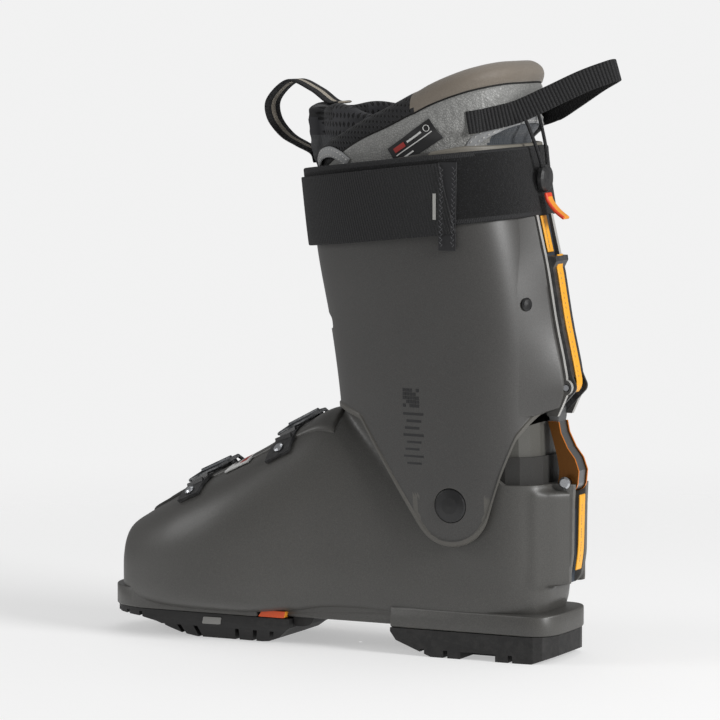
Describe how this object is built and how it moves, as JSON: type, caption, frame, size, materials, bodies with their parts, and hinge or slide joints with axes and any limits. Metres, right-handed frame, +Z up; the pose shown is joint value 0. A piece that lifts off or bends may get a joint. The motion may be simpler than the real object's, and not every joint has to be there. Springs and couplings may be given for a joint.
{
  "type": "alpine ski boot",
  "caption": "Alpine ski boot with a hinged cuff, a rear lever and link that open it backward, two instep buckles, a power strap and a soft liner.",
  "frame": {"origin": "middle of the heel tread, on the ground", "axes": "+X towards the toe, +Y towards the inner side of this right boot, +Z up"},
  "size_m": [0.3478, 0.1301, 0.3719],
  "materials": {
    "shell": "satin, fine grain",
    "cuff": "satin, fine grain",
    "light": "satin grey",
    "dark": "matt dark grey",
    "rubber": "matt black rubber",
    "black": "satin black",
    "steel": "polished",
    "bronze": "anodised orange bronze",
    "yellow": "satin yellow",
    "orange": "satin orange",
    "fabric": "dark textile",
    "leather": "grained synthetic leather",
    "web": "woven webbing",
    "board": "matt"
  },
  "bodies": {
    "lower_boot": {"toe_screw_inner": "steel", "toe_screw_outer": "steel", "heel_screw_front": "steel", "heel_screw_rear": "steel", "toe_ladder": "black", "instep_ladder": "black", "toe_ladder_rivet": "steel", "instep_ladder_rivet": "steel", "toe_buckle_base": "black", "instep_buckle_base": "black", "toe_base_rivet": "steel", "instep_base_rivet": "steel", "lower_shell": "shell", "instep_flap": "shell", "heel_sole": "rubber", "toe_sole": "rubber", "sole_insert": "orange", "shank_pad": "rubber", "boot_board": "board", "liner_foot": "fabric", "heel_gasket": "dark", "heel_spoiler": "light", "heel_inlay": "yellow", "link_lower_pin": "steel", "pivot_cap_inner": "black", "pivot_cap_outer": "black"},
    "cuff": {"cuff_shell": "cuff", "cuff_spine": "light", "spine_inlay": "yellow", "cuff_plug": "black", "power_strap": "fabric", "strap_web": "web", "strap_tab": "web", "strap_ring": "steel", "liner_cuff": "leather", "liner_tongue": "fabric", "rear_pull_loop": "web", "tongue_pull_loop": "web", "liner_lace": "web", "lace_lock": "black", "lace_tab": "orange", "lever_pin_inner": "steel", "lever_pin_outer": "steel"},
    "rear_link": {"link_bar": "light", "link_plate_inner": "bronze", "link_plate_outer": "bronze", "link_top_pin": "steel"},
    "rear_lever": {"heel_lever": "dark", "lever_inlay": "yellow"},
    "toe_lever": {"toe_buckle_lever": "black"},
    "toe_wire": {"toe_bail": "black"},
    "instep_lever": {"instep_buckle_lever": "black"},
    "instep_wire": {"instep_bail": "black"}
  },
  "joints": [
    {"name": "cuff_open", "type": "hinge", "parent": "lower_boot", "child": "cuff", "pos_m": [0.012, 0, 0.097], "axis": [0, -1, 0], "range_deg": [0, 50]},
    {"name": "link_swing", "type": "hinge", "parent": "lower_boot", "child": "rear_link", "pos_m": [-0.051, 0, 0.111], "axis": [0, -1, 0], "range_deg": [0, 106.6]},
    {"name": "lever_swing", "type": "hinge", "parent": "cuff", "child": "rear_lever", "pos_m": [-0.052, 0, 0.17], "axis": [0, -1, 0], "range_deg": [0, 130.9]},
    {"name": "toe_lever_open", "type": "hinge", "parent": "lower_boot", "child": "toe_lever", "pos_m": [0.20172, -0.016, 0.10463], "axis": [-0.8984, -0.0866, 0.4306], "range_deg": [0, 115]},
    {"name": "toe_bail_swing", "type": "hinge", "parent": "toe_lever", "child": "toe_wire", "pos_m": [0.20221, -0.02502, 0.10382], "axis": [-0.8984, -0.0866, 0.4306], "range_deg": [-126.6, 0]},
    {"name": "instep_lever_open", "type": "hinge", "parent": "lower_boot", "child": "instep_lever", "pos_m": [0.13901, -0.01717, 0.13733], "axis": [-0.8739, -0.124, 0.4701], "range_deg": [0, 115]},
    {"name": "instep_bail_swing", "type": "hinge", "parent": "instep_lever", "child": "instep_wire", "pos_m": [0.13955, -0.02612, 0.13597], "axis": [-0.8739, -0.124, 0.4701], "range_deg": [-126.6, 0]}
  ],
  "couplings": [
    {"joint": "link_swing", "follows": "cuff_open", "ratio": 2.1313},
    {"joint": "lever_swing", "follows": "cuff_open", "ratio": 2.6172},
    {"joint": "toe_bail_swing", "follows": "toe_lever_open", "ratio": -1.1},
    {"joint": "instep_bail_swing", "follows": "instep_lever_open", "ratio": -1.1}
  ]
}
